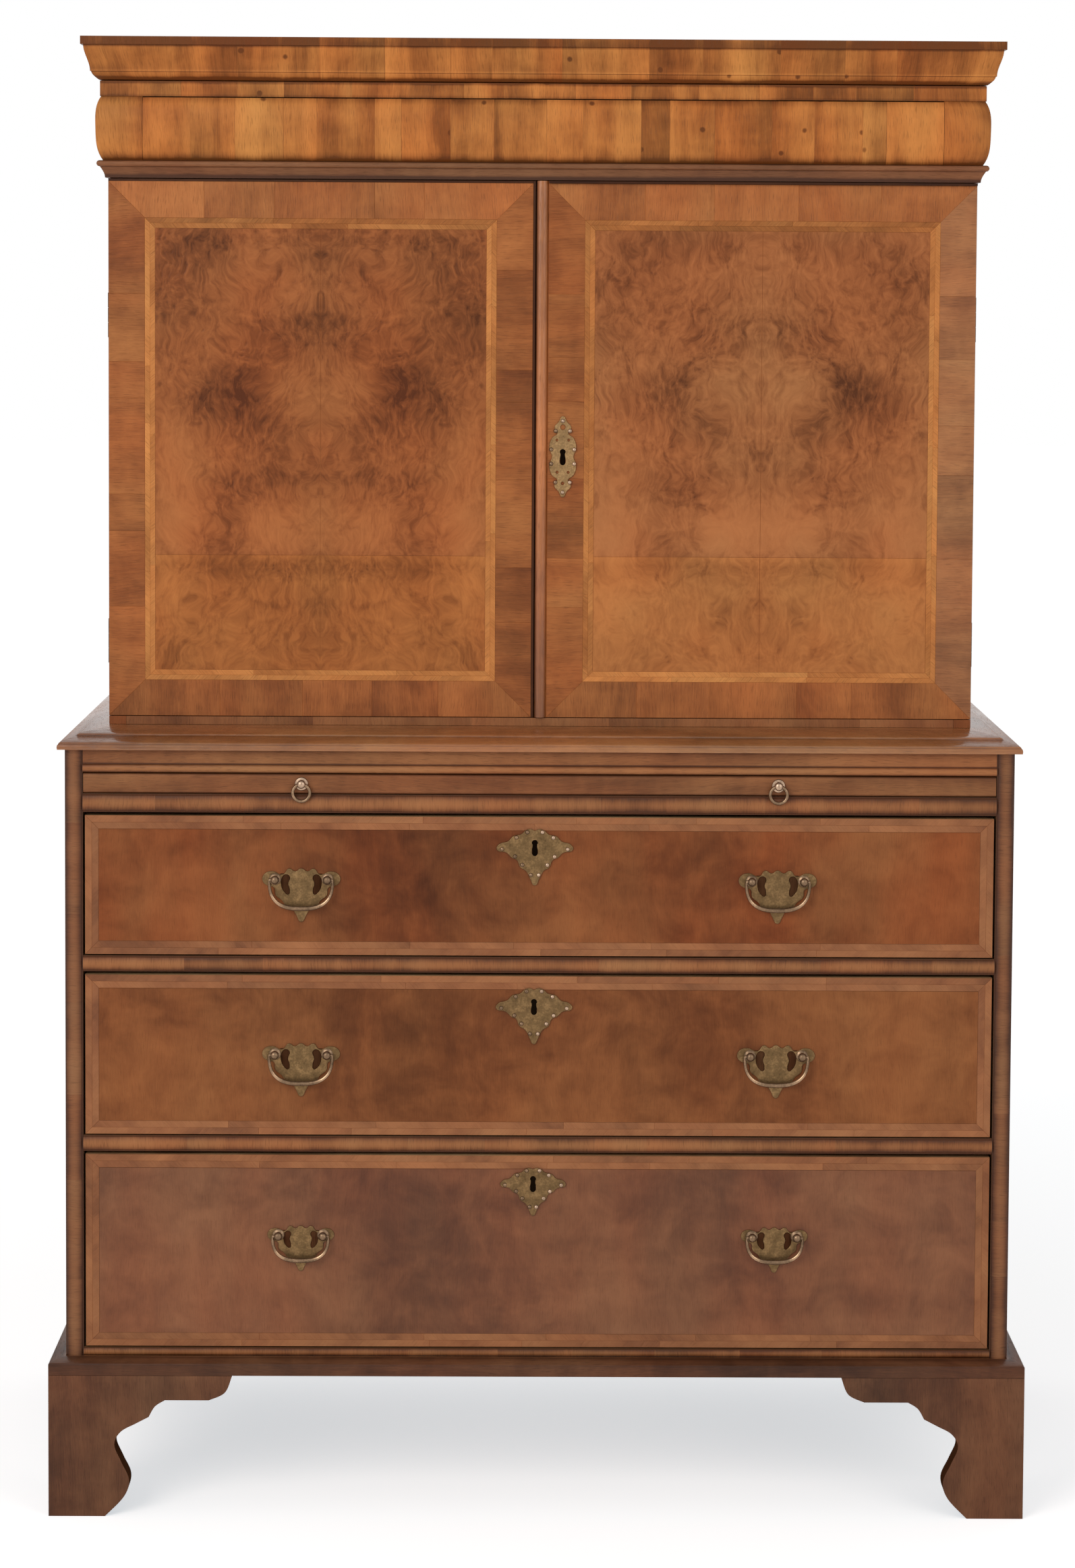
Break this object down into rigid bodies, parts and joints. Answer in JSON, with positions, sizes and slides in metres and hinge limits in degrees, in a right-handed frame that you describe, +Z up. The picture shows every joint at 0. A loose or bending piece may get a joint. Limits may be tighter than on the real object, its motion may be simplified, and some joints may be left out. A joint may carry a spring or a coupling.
{
  "type": "cabinet on chest",
  "caption": "Walnut cabinet on chest: doors and a cushion frieze drawer over a brushing slide and long drawers with brass bail handles, on a moulded base with bracket feet.",
  "frame": {"origin": "on the floor under the middle of the object's box", "axes": "+Z up, -Y towards someone facing the doors and drawers, +X to the right of someone facing them"},
  "size_m": [1.0906, 0.5428, 1.6483],
  "materials": {
    "burr_walnut": "waxed burr walnut veneer, satin",
    "figured_walnut": "waxed figured walnut veneer, satin",
    "crossgrain_walnut": "waxed cross-grain walnut, satin",
    "drawer_oak": "bare planed oak, matt",
    "carcase_deal": "bare planed deal, matt",
    "antique_brass": "dull aged brass"
  },
  "bodies": {
    "carcase": {"base_moulding": "crossgrain_walnut", "cabinet_back_panel": "carcase_deal", "cabinet_bottom_board": "crossgrain_walnut", "cabinet_side_left": "figured_walnut", "cabinet_side_right": "figured_walnut", "cabinet_top_board": "carcase_deal", "chest_back_panel": "carcase_deal", "chest_bottom_board": "crossgrain_walnut", "chest_side_left": "figured_walnut", "chest_side_right": "figured_walnut", "chest_top_board": "crossgrain_walnut", "cornice": "crossgrain_walnut", "drawer_divider_lower": "crossgrain_walnut", "drawer_divider_upper": "crossgrain_walnut", "frieze_board": "drawer_oak", "front_foot_left": "figured_walnut", "front_foot_right": "figured_walnut", "hinge_left_lower_case_leaf": "antique_brass", "hinge_left_upper_case_leaf": "antique_brass", "hinge_right_lower_case_leaf": "antique_brass", "hinge_right_upper_case_leaf": "antique_brass", "rear_foot_left": "figured_walnut", "rear_foot_right": "figured_walnut", "slide_divider": "crossgrain_walnut", "waist_moulding": "crossgrain_walnut"},
    "left_door": {"door_left": "burr_walnut", "hinge_left_lower_door_leaf": "antique_brass", "hinge_left_upper_door_leaf": "antique_brass"},
    "right_door": {"door_right": "burr_walnut", "door_escutcheon": "antique_brass", "hinge_right_lower_door_leaf": "antique_brass", "hinge_right_upper_door_leaf": "antique_brass"},
    "frieze_drawer": {"frieze_drawer_front": "crossgrain_walnut", "frieze_drawer_box": "drawer_oak"},
    "slide": {"brushing_slide": "figured_walnut", "slide_eye_left": "antique_brass", "slide_eye_right": "antique_brass"},
    "left_ring": {"slide_ring_left": "antique_brass"},
    "right_ring": {"slide_ring_right": "antique_brass"},
    "upper_drawer": {"drawer_upper_front": "figured_walnut", "drawer_upper_box": "drawer_oak", "drawer_upper_escutcheon": "antique_brass", "drawer_upper_backplate_left": "antique_brass", "drawer_upper_backplate_right": "antique_brass"},
    "upper_bail_left": {"drawer_upper_bail_left": "antique_brass"},
    "upper_bail_right": {"drawer_upper_bail_right": "antique_brass"},
    "middle_drawer": {"drawer_middle_front": "figured_walnut", "drawer_middle_box": "drawer_oak", "drawer_middle_escutcheon": "antique_brass", "drawer_middle_backplate_left": "antique_brass", "drawer_middle_backplate_right": "antique_brass"},
    "middle_bail_left": {"drawer_middle_bail_left": "antique_brass"},
    "middle_bail_right": {"drawer_middle_bail_right": "antique_brass"},
    "lower_drawer": {"drawer_lower_front": "figured_walnut", "drawer_lower_box": "drawer_oak", "drawer_lower_escutcheon": "antique_brass", "drawer_lower_backplate_left": "antique_brass", "drawer_lower_backplate_right": "antique_brass"},
    "lower_bail_left": {"drawer_lower_bail_left": "antique_brass"},
    "lower_bail_right": {"drawer_lower_bail_right": "antique_brass"}
  },
  "joints": [
    {"name": "left_door_hinge", "type": "hinge", "parent": "carcase", "child": "left_door", "pos_m": [-0.4854, -0.1686, 1.19], "axis": [0, 0, -1], "range_deg": [0, 175]},
    {"name": "right_door_hinge", "type": "hinge", "parent": "carcase", "child": "right_door", "pos_m": [0.4854, -0.1686, 1.19], "axis": [0, 0, 1], "range_deg": [0, 175]},
    {"name": "frieze_drawer_slide", "type": "slide", "parent": "carcase", "child": "frieze_drawer", "axis": [0, -1, 0], "range_m": [0, 0.28]},
    {"name": "brushing_slide_slide", "type": "slide", "parent": "carcase", "child": "slide", "axis": [0, -1, 0], "range_m": [0, 0.28]},
    {"name": "left_ring_swing", "type": "hinge", "parent": "slide", "child": "left_ring", "pos_m": [-0.265, -0.2567, 0.8225], "axis": [-1, 0, 0], "range_deg": [0, 90]},
    {"name": "right_ring_swing", "type": "hinge", "parent": "slide", "child": "right_ring", "pos_m": [0.265, -0.2567, 0.8225], "axis": [-1, 0, 0], "range_deg": [0, 90]},
    {"name": "upper_drawer_slide", "type": "slide", "parent": "carcase", "child": "upper_drawer", "axis": [0, -1, 0], "range_m": [0, 0.36]},
    {"name": "upper_bail_left_swing", "type": "hinge", "parent": "upper_drawer", "child": "upper_bail_left", "pos_m": [-0.265, -0.2596, 0.716], "axis": [-1, 0, 0], "range_deg": [0, 95]},
    {"name": "upper_bail_right_swing", "type": "hinge", "parent": "upper_drawer", "child": "upper_bail_right", "pos_m": [0.265, -0.2596, 0.716], "axis": [-1, 0, 0], "range_deg": [0, 95]},
    {"name": "middle_drawer_slide", "type": "slide", "parent": "carcase", "child": "middle_drawer", "axis": [0, -1, 0], "range_m": [0, 0.36]},
    {"name": "middle_bail_left_swing", "type": "hinge", "parent": "middle_drawer", "child": "middle_bail_left", "pos_m": [-0.265, -0.2596, 0.5195], "axis": [-1, 0, 0], "range_deg": [0, 95]},
    {"name": "middle_bail_right_swing", "type": "hinge", "parent": "middle_drawer", "child": "middle_bail_right", "pos_m": [0.265, -0.2596, 0.5195], "axis": [-1, 0, 0], "range_deg": [0, 95]},
    {"name": "lower_drawer_slide", "type": "slide", "parent": "carcase", "child": "lower_drawer", "axis": [0, -1, 0], "range_m": [0, 0.36]},
    {"name": "lower_bail_left_swing", "type": "hinge", "parent": "lower_drawer", "child": "lower_bail_left", "pos_m": [-0.265, -0.2596, 0.315], "axis": [-1, 0, 0], "range_deg": [0, 95]},
    {"name": "lower_bail_right_swing", "type": "hinge", "parent": "lower_drawer", "child": "lower_bail_right", "pos_m": [0.265, -0.2596, 0.315], "axis": [-1, 0, 0], "range_deg": [0, 95]}
  ]
}
